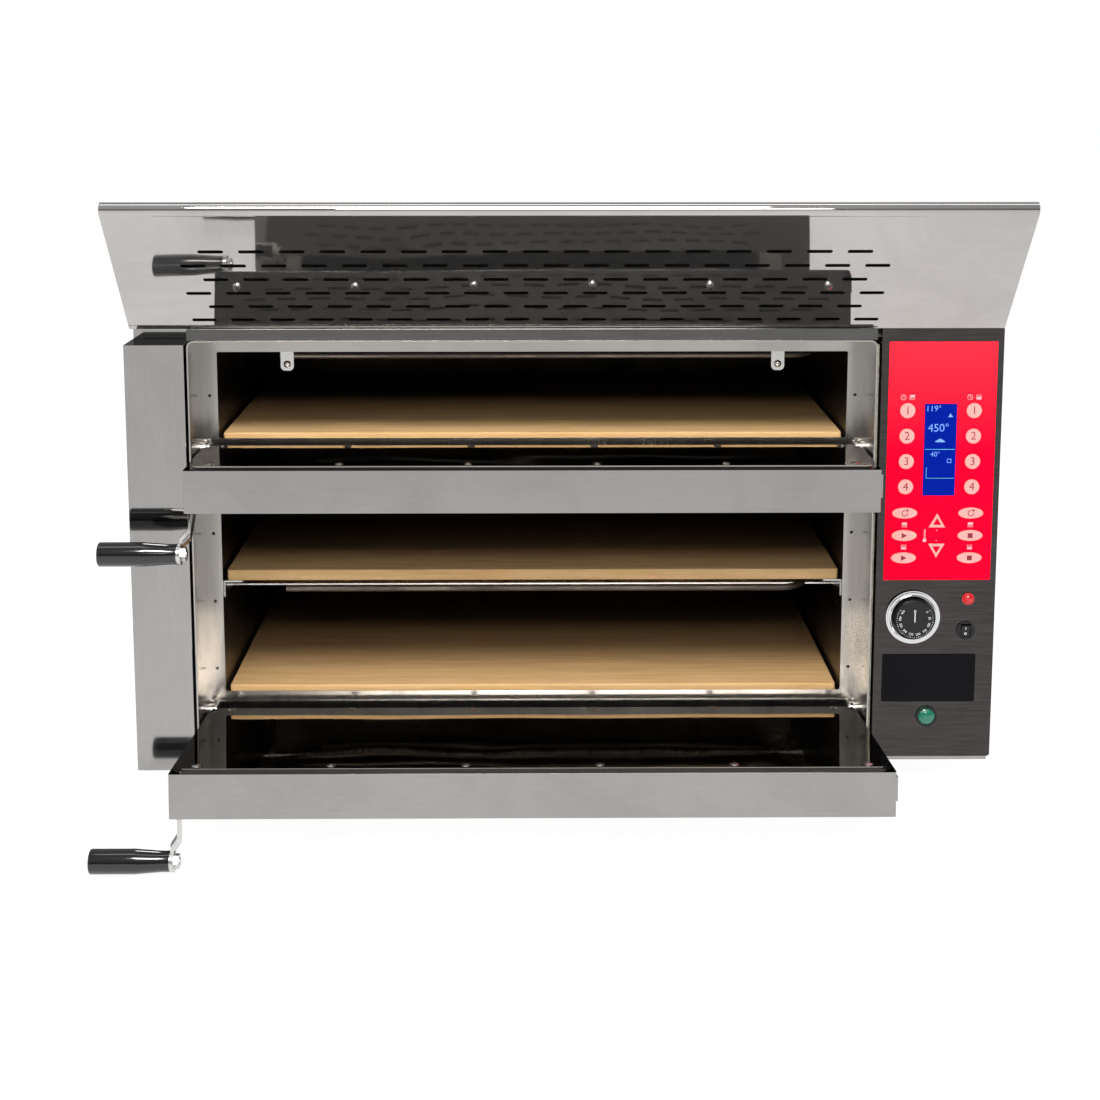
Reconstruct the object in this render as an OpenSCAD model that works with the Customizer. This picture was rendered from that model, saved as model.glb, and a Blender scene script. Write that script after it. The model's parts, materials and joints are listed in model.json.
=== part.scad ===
// Countertop electric deck oven with two drop-down doors, a slotted visor and a control box.
// X runs to the right, Y runs from the front into the oven, Z up. Millimetres.
// Sizes are laid out from the centre of the mouth, the lip plane and the underside of the base;
// place() then moves the origin to the middle of the overall outline, at the feet.

/* [Casing] */
// Left face of the casing, from the centre of the mouth
casing_left = 416; // [405:1:430]
// Right face of the casing, from the centre of the mouth
casing_right = 488; // [480:1:510]
// Depth of the casing behind the lip
casing_depth = 480; // [460:5:560]
// Height of the lid above the underside of the base
lid_top = 469; // [466:1:480]
// Height of the feet
foot_h = 47; // [40:1:60]
// Width of the front column left of the mouth
column_w = 61; // [40:1:61]
// Sheet thickness of the casing
sheet = 1.2; // [1:0.1:1.4]

/* [Mouth] */
// Outer width of the lip
lip_w = 704; // [700:1:706]
// Height of the lip above the underside of the base
lip_top = 457; // [456:1:462]
// Depth of the recess that the doors close into
recess = 69; // [69:1:74]
// Thickness of the lip
lip_t = 1.5; // [1:0.1:1.6]
// Width of both chamber openings
opening_w = 668; // [650:1:670]
// Bottom and top of the upper opening
upper_open = [342, 435];
// Bottom and top of the lower opening
lower_open = [62, 262];

/* [Doors] */
// Width of both doors
door_w = 696; // [690:1:697]
// Thickness of both doors
door_t = 46.5; // [44:0.5:47]
// Height of the upper door
upper_door_h = 115; // [105:1:115]
// Height of the lower door
lower_door_h = 226; // [210:1:228]
// Opening angle of the upper door
upper_angle = 90; // [80:1:90]
// Opening angle of the lower door
lower_angle = 85.3; // [75:0.1:86]
// Height of the upper hinge line above the underside of the base
upper_hinge_z = 333.5; // [333:0.5:336]
// Height of the lower hinge line above the underside of the base
lower_hinge_z = 44; // [44:0.5:46]
// Distance between the screws of the inner panel
screw_pitch = 129.5; // [120:0.5:131]

/* [Handles] */
// Length of the black grip
grip_l = 78; // [60:1:80]
// Radius of the grip at its free end
grip_r = 12.2; // [9:0.1:12.2]
// How far the upper grip stands off the door face
upper_standoff = 38.5; // [38:0.5:40]
// How far the lower grip stands off the door face
lower_standoff = 52; // [50:0.5:52]
// Height of the upper grip above the lower edge of its door
upper_grip_z = 125.5; // [125:0.5:127]
// Height of the lower grip above the lower edge of its door
lower_grip_z = 195.3; // [180:0.1:195.3]

/* [Chambers] */
// Depth of the baking chambers
chamber_depth = 372; // [370:1:380]
// Width of the stones
stone_w = 660; // [640:1:660]
// Depth of the stones
stone_d = 362; // [340:1:362]
// Thickness of the stones
stone_t = 12; // [10:0.5:12]
// Top of the middle stone above the underside of the base
middle_stone_z = 196; // [190:1:200]

/* [Visor] */
// Lean of the visor from upright
visor_lean = 41; // [38:1:44]
// Length of the visor up its slope
visor_len = 164; // [150:1:170]
// Width of the visor
visor_w = 892; // [880:1:892]
// Distance between slots along a row
slot_pitch = 39.4; // [38:0.1:40]
// Length of a slot
slot_l = 25; // [20:0.5:27]
// Width of a slot
slot_w = 4.4; // [3.5:0.1:4.6]
// Distance between the rows of slots
row_pitch = 20; // [19:0.5:21]

/* [Controls] */
// Front plane of the control box behind the lip plane
fascia_y = 18; // [16:1:20]
// Diameter of the dial bezel
bezel_d = 57; // [54:1:58]
// Travel of a key
key_travel = 0.5; // [0.3:0.1:0.5]
// Diameter of a round key
round_key_d = 15.6; // [14:0.2:16]
// Distance between round keys
round_key_pitch = 26.9; // [26:0.1:28]
// Distance between oval keys
oval_key_pitch = 24; // [22:0.5:25]

/* [Hidden] */
$fn = 48;
body_gap = 0.5;

// Feet, lid and supply entry
foot_x = [-360, 430];
foot_y = [165, 435];
foot_r = 18;
foot_stem_r = 8;
pad_h = 14;
casing_front = 47;
lid_skirt = 16;
gland_x = 424;
gland_z = 60;
gland_r = 10;
gland_bore_r = 7;
gland_nut_r = 15;

// Hinge line behind the lip plane, and its place in a door's own frame
hinge_y = 62;
door_out_y = 20.5;
hinge_drop = 6;
door_hinge_y = hinge_y - door_out_y;
pin_r = 4;
bore_r = 4.05;
ear_x = 344;
ear_t = 3;
ear_r = 6.4;
catch_l = 20;

// Door sheet metal
door_skin = 1.2;
panel_rise = 3;
panel_inset = 8;
door_rim = 24;
screw_rows = [13, 17];
screw_r = 1.8;
screw_head_h = 1.7;
screw_l = 4.2;

// Handle
eye_x = -351.5;
eye_t = 3;
eye_r = 10.5;
stem_x = -345;
bar_w = 12;
root_gap = 3.6;
bolt_r = 4;
washer_t = 1.5;
grip_x = eye_x - washer_t;
upper_foot_z = 80;
lower_foot_z = lower_grip_z;

// Visor
visor_y = 4;
visor_t = 1.2;
visor_roll_r = 7.5;
visor_roll_step = 0.2;
visor_x = (casing_right - casing_left) / 2;
visor_flange_y = 72;
slot_start = -344;
first_row = 14;
baffle_x = [-392, 342];
baffle_z = [3.4, 126];
baffle_depth = 12;

// Control box
fascia_x = [360, 486];
fascia_z = [6, lid_top - 0.3];
keypad_x = [367.6, 479.6];
keypad_z = [200, 453];
keypad_t = 1;
key_t = 1.2;
key_front = fascia_y - key_t - key_travel - 0.1;
key_gap = 0.3;
lcd_x = [405.8, 439.3];
lcd_z = [290.8, 388];
key_left_x = 388;
key_right_x = 457;
round_key_top = 380.8;
oval_key_top = 272;
oval_key = [26, 11.6];
arrow_x = 422;
arrow_z = [263, 233];
arrow_w = 17;
dial_x = 399.5;
dial_z = 160;
shaft_r = 3;
knob_r = 20.6;
knob_h = 13;
rocker_x = 456;
rocker_z = 145;
red_lamp_x = 457.6;
red_lamp_z = 179.4;
green_lamp_x = 417.3;
green_lamp_z = 50.7;

// Chambers
liner_t = 1.2;
upper_floor = upper_open[0] - 7;
upper_roof = 441;
lower_floor = lower_open[0] - 7;
lower_roof = 266;
stone_y = recess + 6;
element_r = 3.5;
flange_back = recess + lip_t;
liner_back = flange_back + chamber_depth;

// Overall outline: the grips on the left, the casing on the right, the door in front, the gland behind
gland_l = 16;
side_screw_h = 2;
left_edge = eye_x - washer_t - grip_l;
front_edge = hinge_y - door_hinge_y * cos(lower_angle) - (lower_door_h + hinge_drop) * sin(lower_angle);
mid_x = (left_edge + casing_right + side_screw_h) / 2;
mid_y = (front_edge + casing_depth + gland_l) / 2;

KEYS = [for (side = ["upper", "lower"], n = [1:4]) str("key_", side, "_", n)];
OVALS = ["key_reset_left", "key_start_upper", "key_start_lower",
         "key_reset_right", "key_stop_upper", "key_stop_lower"];
ARROWS = ["key_up", "key_down"];

// Placing and simple shapes

// Moves the working frame to the part's own origin
module place() translate([-mid_x, -mid_y, foot_h]) children();

// A block given by its lowest and highest corners
module block(low, high) translate(low) cube(high - low);

// A round bar along X from x0 to x1
module bar_x(r, x0, x1, y, z) translate([x0, y, z]) rotate([0, 90, 0]) cylinder(r = r, h = x1 - x0);

// A round bar along Y from y0 to y1
module bar_y(r, x, z, y0, y1) translate([x, y1, z]) rotate([90, 0, 0]) cylinder(r = r, h = y1 - y0);

// Extrudes an X-Z outline from y0 to y1
module along_y(y0, y1) translate([0, y1, 0]) rotate([90, 0, 0]) linear_extrude(y1 - y0) children();

// Rounded rectangle from its corners
module rounded(x0, x1, z0, z1, r) {
    translate([x0 + r, z0]) square([x1 - x0 - 2 * r, z1 - z0]);
    translate([x0, z0 + r]) square([x1 - x0, z1 - z0 - 2 * r]);
    for (x = [x0 + r, x1 - r], z = [z0 + r, z1 - r]) translate([x, z]) circle(r);
}

// Rectangle between two pairs of limits
module square_span(x, z) translate([x[0], z[0]]) square([x[1] - x[0], z[1] - z[0]]);

// Flat ring between two rounded rectangles
module frame_ring(x, z, t, r) difference() {
    rounded(-x, x, z[0], z[1], r);
    rounded(-x + t, x - t, z[0] + t, z[1] - t, r - t);
}

// A slot along X centred on the origin
module slot_shape(l, w) {
    square([l - w, w], center = true);
    for (x = [-1, 1] * (l - w) / 2) translate([x, 0]) circle(w / 2);
}

// A hollow box with its front open and walls of thickness t
module open_box(x, y0, y1, z0, z1, t) difference() {
    block([-x - t, y0, z0 - t], [x + t, y1 + t, z1 + t]);
    block([-x, y0 - 1, z0], [x, y1, z1]);
}

// A low dome of radius r and height h on the plane y = 0, standing out towards -Y
module dome(r, h) {
    ball = (r * r + h * h) / (2 * h);
    intersection() {
        translate([0, ball - h, 0]) sphere(ball);
        bar_y(r, 0, 0, -h - 1, 0);
    }
}

// Casing

module feet() color("#202020") place()
    for (x = foot_x, y = foot_y) translate([x, y, -foot_h]) {
        cylinder(r1 = foot_r - 1, r2 = foot_r, h = 1);
        translate([0, 0, 1]) cylinder(r = foot_r, h = pad_h - 1);
        translate([0, 0, pad_h]) cylinder(r = foot_stem_r, h = foot_h - pad_h);
    }

module base_pan() color("#b9babb") place() {
    block([-casing_left + sheet, flange_back, 0], [casing_right - sheet, casing_depth - sheet, sheet]);
    block([lip_w / 2 + 6, 24, 0], [casing_right - 4, flange_back, sheet]);
    block([lip_w / 2 + 6, 24, 0], [casing_right - 4, 24 + sheet, fascia_z[0] - 0.6]);
}

module left_side_panel() color("#c9c8c5") place() {
    column_right = -casing_left + column_w;
    column_top = lid_top - lid_skirt;
    block([-casing_left, 0, 0], [column_right, sheet, column_top]);
    block([-casing_left, 0, 0], [-casing_left + sheet, casing_depth - sheet, column_top]);
    block([column_right - sheet, 0, 0], [column_right, 60, column_top]);
    block([-casing_left, 0, column_top - sheet], [column_right, 60, column_top]);
}

module right_side_panel() color("#c9c8c5") place()
    block([casing_right - sheet, casing_front, 0], [casing_right, casing_depth - sheet, lid_top - lid_skirt]);

module rear_panel() color("#c0c1c2") place() difference() {
    block([-casing_left, casing_depth - sheet, 0], [casing_right, casing_depth, lid_top - lid_skirt]);
    for (x = [375:12:459], z = [150, 230]) translate([0, 0, z]) along_y(casing_depth - 5, casing_depth + 5)
        translate([x, 0]) rotate(90) slot_shape(60, 5);
    bar_y(gland_r + 0.1, gland_x, gland_z, casing_depth - 5, casing_depth + 5);
}

module top_cover() color("#c9c8c5") place() difference() {
    low = lid_top - lid_skirt;
    block([-casing_left, casing_front, low], [casing_right, casing_depth, lid_top]);
    block([-casing_left + sheet, casing_front + sheet, low - 1],
        [casing_right - sheet, casing_depth - sheet, lid_top - sheet]);
    block([-lip_w / 2 - 1, casing_front - 1, low - 1], [lip_w / 2 + 1, casing_front + 1 + sheet, lip_top + 0.5]);
}

// A pan head of the casing screws, standing up along Z
module pan_head() {
    cylinder(r = 4, h = side_screw_h / 2);
    translate([0, 0, side_screw_h / 2]) cylinder(r1 = 4, r2 = 3, h = side_screw_h / 2);
}

module casing_screws() color("#d8d8d8") place() {
    for (x = [-380, -190, 0, 190, 380]) translate([x, 60, lid_top + visor_t]) pan_head();
    for (y = [140, 380], z = [60, 240, 420]) {
        translate([casing_right, y, z]) rotate([0, 90, 0]) pan_head();
        translate([-casing_left, y, z]) rotate([0, -90, 0]) pan_head();
    }
    for (x = [-390, -130, 130, 330], z = [20, 430])
        translate([x, casing_depth, z]) rotate([-90, 0, 0]) pan_head();
}

module supply_gland() color("#1c1c1c") place() difference() {
    union() {
        bar_y(gland_r, gland_x, gland_z, casing_depth - 8, casing_depth + gland_l);
        for (nut = [[casing_depth + 9, 9], [casing_depth - sheet, 5]])
            translate([gland_x, nut[0], gland_z]) rotate([90, 0, 0])
                cylinder(r = gland_nut_r, h = nut[1], $fn = 6);
    }
    bar_y(gland_bore_r, gland_x, gland_z, casing_depth - 20, casing_depth + 40);
}

// Mouth

module mouth_frame() color("#a9a6a1") place() difference() {
    union() {
        along_y(0, flange_back) frame_ring(lip_w / 2, [0, lip_top], lip_t, 7);
        along_y(recess, flange_back) difference() {
            rounded(-lip_w / 2, lip_w / 2, 0, lip_top, 7);
            for (z = [upper_open, lower_open])
                rounded(-opening_w / 2, opening_w / 2, z[0], z[1], 2);
        }
    }
    for (z = [upper_hinge_z, lower_hinge_z]) bar_x(bore_r, -lip_w, lip_w, hinge_y, z);
    for (side = [-1, 1], z = [88:75:388])
        bar_y(1.7, side * 342.5, z, recess - 5, recess + 5);
}

module header_rail() color("#b5b3ae") place()
    block([-lip_w / 2, 2, lip_top], [lip_w / 2, 2 + sheet, lid_top]);

// Shoulder bolts: head outside the recess wall, collar and pin inside it
module hinge_pins() color("#d0d0d0") place()
    for (side = [0, 1], z = [upper_hinge_z, lower_hinge_z])
        mirror([side, 0, 0]) {
            bar_x(pin_r, ear_x - 1.5, lip_w / 2 + (side == 0 ? 7 : 3), hinge_y, z);
            bar_x(6.5, lip_w / 2, lip_w / 2 + 2.2, hinge_y, z);
            bar_x(5.4, door_w / 2 + 0.4, lip_w / 2 - lip_t, hinge_y, z);
        }

// Visor: a leaning mirror sheet with staggered slots, a rolled top edge and a fixing flange

// Side outline of the visor: Y from its fold, then height
module visor_outline() {
    lean = sin(visor_lean);
    rise = cos(visor_lean);
    inner = visor_t * (1 - lean) / rise;
    flange = visor_flange_y - visor_y;
    roll_y = visor_roll_r - visor_roll_step;
    polygon([[flange, 0], [0, 0], visor_len * [-lean, rise], visor_t * [rise, lean] + visor_len * [-lean, rise],
        visor_t * [rise, lean] + inner * [-lean, rise], [flange, visor_t]]);
    translate(visor_len * [-lean, rise] + roll_y * [rise, lean]) difference() {
        circle(visor_roll_r);
        circle(visor_roll_r - visor_t);
    }
}

module visor() color("#cfccc6") place() translate([visor_x, visor_y, lid_top]) difference() {
    translate([-visor_w / 2, 0, 0]) rotate([90, 0, 90]) linear_extrude(visor_w) visor_outline();
    rotate([visor_lean, 0, 0]) along_y(-5, 5)
        for (row = [0:5], i = [0:17 - row % 2])
            translate([slot_start - visor_x + (i + (row % 2) / 2) * slot_pitch + slot_l / 2,
                first_row + row * row_pitch]) slot_shape(slot_l, slot_w);
}

// Dark shallow tray behind the slots; its rim meets the back of the visor
module visor_baffle() color("#26241f") place() translate([visor_x, visor_y, lid_top])
    rotate([visor_lean, 0, 0]) difference() {
        along_y(visor_t + 0.05, baffle_depth) square_span(baffle_x, baffle_z);
        along_y(visor_t - 1, baffle_depth - sheet)
            square_span(baffle_x - [-sheet, sheet], baffle_z - [-sheet, sheet]);
    }

// Chambers

module upper_chamber_liner() color("#6d6a66") place()
    open_box(opening_w / 2, flange_back, liner_back, upper_floor, upper_roof, liner_t);

module lower_chamber_liner() color("#6d6a66") place()
    open_box(opening_w / 2, flange_back, liner_back, lower_floor, lower_roof, liner_t);

// Insulation: one slab on each side of the chambers, and the rough strip beside the control box
module chamber_wool() color("#8d8a80") place() {
    wall = opening_w / 2 + liner_t + body_gap;
    back = casing_depth - sheet - body_gap;
    low = sheet + body_gap;
    high = lid_top - sheet - body_gap;
    block([-casing_left + 3, flange_back + 5, low], [-wall, back, high]);
    block([wall, flange_back + 5, low], [356, back, high]);
    block([-wall, liner_back + 3, low], [wall, back, high]);
    block([-wall, flange_back + 5, low], [wall, liner_back + 3, 40]);
    block([-wall, flange_back + 5, lower_roof + 3], [wall, liner_back + 3, 322]);
    block([-wall, flange_back + 5, upper_roof + 3], [wall, liner_back + 3, high]);
    block([lip_w / 2 + 1.2, 24, 8], [358.4, 54, lid_top - 20]);
}

module stone(top, edge) place() along_z(top - stone_t, top)
    rounded(-stone_w / 2, stone_w / 2, stone_y, stone_y + stone_d, edge);

module along_z(z0, z1) translate([0, 0, z0]) linear_extrude(z1 - z0) children();

module upper_stone() color("#c9a06c") stone(upper_floor + stone_t, 3);
module middle_stone() color("#c9a06c") stone(middle_stone_z, 3);
module lower_stone() color("#c9a06c") stone(lower_floor + stone_t, 3);

// Two angle rails under the middle stone, two straps under its element and two tabs for the roof element
module chamber_brackets() color("#b8b6b0") place() {
    for (y = [130, 340])
        block([-opening_w / 2, y, 168 - element_r - 1.5], [opening_w / 2, y + 12, 168 - element_r]);
    for (side = [0, 1]) mirror([side, 0, 0]) {
        rail = middle_stone_z - stone_t;
        block([314, stone_y, rail - 1.5], [opening_w / 2, liner_back - 10, rail]);
        block([opening_w / 2 - 1.5, stone_y, rail - 18], [opening_w / 2, liner_back - 10, rail]);
        translate([262, 0, 0]) {
            along_y(86, 87.5) rounded(-7, 7, 412, upper_roof, 5);
            block([-7, 86, upper_roof - 1.5], [7, 104, upper_roof]);
            translate([0, 86, 419]) dome(4, 2.4);
        }
    }
}

// A tube heater bent back and forth between x0 and x1
module serpentine(x0, x1, y0, runs, pitch, z) {
    for (i = [0:runs - 1]) bar_x(element_r, x0, x1, y0 + i * pitch, z);
    for (i = [0:runs - 2]) translate([i % 2 == 0 ? x1 : x0, y0 + (i + 0.5) * pitch, z])
        rotate([0, 0, i % 2 == 0 ? -90 : 90]) rotate_extrude(angle = 180) translate([pitch / 2, 0])
            circle(element_r);
}

module heating_elements() color("#5a5550") place() {
    serpentine(-270, 270, 87.5 + element_r, 6, 60, 428);
    serpentine(-270, 270, 108, 6, 60, 328);
    serpentine(-270, 270, 100, 6, 60, 168);
    serpentine(-270, 270, 108, 6, 60, 47.5);
}

// Doors, drawn closed in their own frame: X from the middle, Y from the outer face inwards,
// Z from the lower edge. swung() puts one on its hinge, opened by its angle.

module swung(hinge_z, angle) place()
    translate([0, hinge_y, hinge_z]) rotate([angle, 0, 0])
        translate([0, -door_hinge_y, hinge_drop]) children();

module upper_swung() swung(upper_hinge_z, upper_angle) children();
module lower_swung() swung(lower_hinge_z, lower_angle) children();

// Screw places on the inner panel of a door of height h
module at_screws(h) for (i = [-2.5:1:2.5], z = [screw_rows[0], h - screw_rows[1]])
    translate([i * screw_pitch, door_t, z]) children();

module door_shell(h) {
    body = door_t - panel_rise;
    difference() {
        union() {
            along_y(0, body) frame_ring(door_w / 2, [0, h], door_skin, 3);
            along_y(0, door_skin) rounded(-door_w / 2, door_w / 2, 0, h, 3);
            along_y(body - door_skin, body) frame_ring(door_w / 2, [0, h], door_rim, door_rim + 1);
            block([door_w / 2 - 0.4, 14, h - catch_l - 4], [door_w / 2 + 2, 38, h - 4]);
            for (side = [0, 1]) mirror([side, 0, 0]) {
                block([ear_x, door_hinge_y - ear_r, -hinge_drop], [ear_x + ear_t, door_hinge_y, 20]);
                block([ear_x, door_hinge_y - ear_r, 0.2], [ear_x + ear_t, body, 20]);
                bar_x(ear_r, ear_x, ear_x + ear_t, door_hinge_y, -hinge_drop);
            }
        }
        for (side = [-1, 1])
            translate([side * (ear_x + ear_t / 2), 0, 0]) bar_x(bore_r, -3, 3, door_hinge_y, -hinge_drop);
        at_screws(h) bar_y(screw_r + 0.1, 0, 0, -10, 1);
    }
}

module door_panel(h) difference() {
    x = door_w / 2 - panel_inset;
    union() {
        along_y(door_t - panel_rise, door_t) frame_ring(x, [panel_inset, h - panel_inset], 1, 4);
        along_y(door_t - 1, door_t) rounded(-x, x, panel_inset, h - panel_inset, 4);
    }
    at_screws(h) bar_y(screw_r + 0.1, 0, 0, -10, 1);
}

module door_wool(h) block([-door_w / 2 + door_rim, door_skin + 0.3, 4],
    [door_w / 2 - door_rim, door_t - panel_rise - door_skin - 0.3, h - 4]);

// Flat bar: a foot on the door face, a stem, a small joggle and an eye for the grip bolt
module door_arm(stand, grip_z, foot_z) {
    run = [-stand, grip_z - foot_z] / norm([stand, grip_z - foot_z]);
    eye = [-stand, grip_z];
    near = eye - 14 * run;
    far = eye - 24 * run;
    root = [0, foot_z] + (bar_w / 2 + root_gap) * run;
    block([stem_x, -2.5, foot_z - bar_w / 2], [stem_x + 28, 0, foot_z + bar_w / 2]);
    block([stem_x, -8, foot_z - bar_w / 2], [stem_x + eye_t, 0, foot_z + bar_w / 2]);
    hull() {
        bar_x(bar_w / 2, stem_x, stem_x + eye_t, root[0], root[1], $fn = 32);
        bar_x(bar_w / 2, stem_x, stem_x + eye_t, far[0], far[1], $fn = 32);
    }
    hull() {
        bar_x(bar_w / 2, stem_x, stem_x + eye_t, far[0], far[1], $fn = 32);
        bar_x(bar_w / 2, eye_x, eye_x + eye_t, near[0], near[1], $fn = 32);
    }
    difference() {
        union() {
            hull() {
                bar_x(bar_w / 2, eye_x, eye_x + eye_t, near[0], near[1], $fn = 32);
                bar_x(bar_w / 2, eye_x, eye_x + eye_t, eye[0], eye[1], $fn = 32);
            }
            bar_x(eye_r, eye_x, eye_x + eye_t, eye[0], eye[1]);
        }
        bar_x(bolt_r, eye_x - 5, eye_x + 10, eye[0], eye[1]);
    }
}

// Tapered grip along X with a rounded free end, bored for its bolt
module door_grip(stand, grip_z) translate([grip_x, -stand, grip_z]) rotate([0, -90, 0])
    rotate_extrude() difference() {
        union() {
            polygon([[0, 0], [9.2, 0], [9.6, 1], [grip_r, 34], [grip_r, grip_l - 2], [0, grip_l - 2]]);
            square([grip_r - 2, grip_l]);
            translate([grip_r - 2, grip_l - 2]) circle(2);
        }
        translate([-20, -1]) square([20, grip_l + 5]);
        square([bolt_r, 22]);
    }

// Panel screws, the grip bolt with its nut and washer, and the two screws of the arm
module door_fasteners(h, stand, grip_z, foot_z) {
    at_screws(h) {
        rotate([0, 0, 180]) dome(4.6, screw_head_h);
        bar_y(screw_r, 0, 0, -screw_l, 0);
    }
    translate([eye_x + eye_t, -stand, grip_z]) rotate([0, 90, 0]) cylinder(r = 7.5, h = 4.6, $fn = 6);
    bar_x(bolt_r, grip_x - 20, eye_x + eye_t + 5.6, -stand, grip_z);
    bar_x(9.6, grip_x, eye_x, -stand, grip_z);
    translate([stem_x + 16, -2.5, foot_z]) dome(4, 1.8);
}

module upper_door_shell() color("#aaa7a2") upper_swung() door_shell(upper_door_h);
module upper_door_panel() color("#55524f") upper_swung() door_panel(upper_door_h);
module upper_door_wool() color("#8d8a80") upper_swung() door_wool(upper_door_h);
module upper_door_arm() color("#b8b8b8") upper_swung() door_arm(upper_standoff, upper_grip_z, upper_foot_z);
module upper_door_grip() color("#101010") upper_swung() door_grip(upper_standoff, upper_grip_z);
module upper_door_fasteners() color("#d8d8d8") upper_swung()
    door_fasteners(upper_door_h, upper_standoff, upper_grip_z, upper_foot_z);
module lower_door_shell() color("#aaa7a2") lower_swung() door_shell(lower_door_h);
module lower_door_panel() color("#55524f") lower_swung() door_panel(lower_door_h);
module lower_door_wool() color("#8d8a80") lower_swung() door_wool(lower_door_h);
module lower_door_arm() color("#b8b8b8") lower_swung() door_arm(lower_standoff, lower_grip_z, lower_foot_z);
module lower_door_grip() color("#101010") lower_swung() door_grip(lower_standoff, lower_grip_z);
module lower_door_fasteners() color("#d8d8d8") lower_swung()
    door_fasteners(lower_door_h, lower_standoff, lower_grip_z, lower_foot_z);

// Control box

module control_fascia() color("#5c5a58") place() difference() {
    union() {
        along_y(fascia_y, 46.5) difference() {
            rounded(fascia_x[0], fascia_x[1], fascia_z[0], fascia_z[1], 3);
            rounded(fascia_x[0] + sheet, fascia_x[1] - sheet, fascia_z[0] + sheet, fascia_z[1] - sheet, 2);
        }
        along_y(fascia_y, fascia_y + sheet) rounded(fascia_x[0], fascia_x[1], fascia_z[0], fascia_z[1], 3);
    }
    bar_y(6.1, dial_x, dial_z, 0, 40);
    bar_y(5.1, red_lamp_x, red_lamp_z, 0, 40);
    bar_y(7.1, green_lamp_x, green_lamp_z, 0, 40);
    bar_y(8.1, rocker_x, rocker_z, 0, 40);
}

module round_key_place(name) {
    i = search([name], KEYS)[0];
    translate([i < 4 ? key_left_x : key_right_x, 0, round_key_top - (i % 4) * round_key_pitch]) children();
}

module oval_key_place(name) {
    i = search([name], OVALS)[0];
    translate([i < 3 ? key_left_x : key_right_x, 0, oval_key_top - (i % 3) * oval_key_pitch]) children();
}

module arrow_key_place(name) {
    i = search([name], ARROWS)[0];
    translate([arrow_x, 0, arrow_z[i]]) mirror([0, 0, i]) children();
}

// An ellipse of length l and width w, drawn from straight pieces
module oval_shape(l, w) polygon([for (a = [0:7.5:359]) [l / 2 * cos(a), w / 2 * sin(a)]]);

module arrow_shape(w) polygon([[-w / 2, -w * 0.36], [w / 2, -w * 0.36], [0, w * 0.5]]);

module keypad_membrane() color("#ff1f48") place() difference() {
    along_y(fascia_y - keypad_t, fascia_y) rounded(keypad_x[0], keypad_x[1], keypad_z[0], keypad_z[1], 1);
    along_y(0, 30) rounded(lcd_x[0] - 0.1, lcd_x[1] + 0.1, lcd_z[0] - 0.1, lcd_z[1] + 0.1, 1);
    for (name = KEYS) round_key_place(name) bar_y(round_key_d / 2 + key_gap, 0, 0, 0, 30);
    for (name = OVALS) oval_key_place(name)
        along_y(0, 30) oval_shape(oval_key[0] + 2 * key_gap, oval_key[1] + 2 * key_gap);
    for (name = ARROWS) arrow_key_place(name) along_y(0, 30) arrow_shape(arrow_w + 4 * key_gap);
}

module round_key(name) color("#f2cdbb") place() round_key_place(name) {
    bar_y(round_key_d / 2, 0, 0, key_front + 0.3, key_front + key_t);
    bar_y(round_key_d / 2 - 0.5, 0, 0, key_front, key_front + 0.4);
}
module oval_key(name) color("#f2cdbb") place() oval_key_place(name) {
    along_y(key_front + 0.3, key_front + key_t) oval_shape(oval_key[0], oval_key[1]);
    along_y(key_front, key_front + 0.4) oval_shape(oval_key[0] - 1, oval_key[1] - 1);
}
module arrow_key(name) color("#f2cdbb") place() arrow_key_place(name)
    along_y(key_front, key_front + key_t) arrow_shape(arrow_w);

module lcd_window() color("#2340d8") place()
    along_y(fascia_y - keypad_t - 0.2, fascia_y) rounded(lcd_x[0], lcd_x[1], lcd_z[0], lcd_z[1], 1);

module dial_bezel() color("#e0e0e0") place() translate([dial_x, fascia_y, dial_z]) rotate([90, 0, 0])
    rotate_extrude() difference() {
        union() {
            translate([bezel_d / 2 - 5, 0]) square([5, 3]);
            translate([bezel_d / 2 - 5, 3]) circle(2);
            translate([bezel_d / 2 - 5, 0]) square([3.5, 4.4]);
        }
        translate([0, -4]) square([bezel_d / 2 - 5, 20]);
        translate([0, -4]) square([bezel_d, 4]);
    }

module thermostat_body() color("#c8c4b8") place() difference() {
    union() {
        bar_y(17, dial_x, dial_z, fascia_y + 6, fascia_y + 26);
        bar_y(6, dial_x, dial_z, fascia_y + sheet, fascia_y + 6);
    }
    bar_y(shaft_r + 0.05, dial_x, dial_z, 0, fascia_y + 22);
}

// The knob turns with its spindle
module thermostat_knob() color("#141414") place() translate([dial_x, fascia_y, dial_z]) rotate([90, 0, 0]) {
    difference() {
        union() {
            translate([0, 0, 0.8]) cylinder(r = knob_r, h = knob_h - 2);
            translate([0, 0, knob_h - 1.2]) cylinder(r1 = knob_r, r2 = knob_r - 1.2, h = 1.2);
        }
        translate([0, 0, -5]) cylinder(r = shaft_r, h = 15);
    }
    translate([0, 0, -21]) cylinder(r = shaft_r, h = 31);
}

module rocker_frame() color("#0c0c0c") place() difference() {
    union() {
        bar_y(9.8, rocker_x, rocker_z, fascia_y - 1.6, fascia_y);
        bar_y(8, rocker_x, rocker_z, fascia_y, fascia_y + 18);
    }
    translate([rocker_x, 0, rocker_z]) along_y(0, fascia_y + 14) square([10.4, 14.6], center = true);
    bar_x(0.8, rocker_x - 6.2, rocker_x + 6.2, fascia_y + 2, rocker_z);
}

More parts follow.
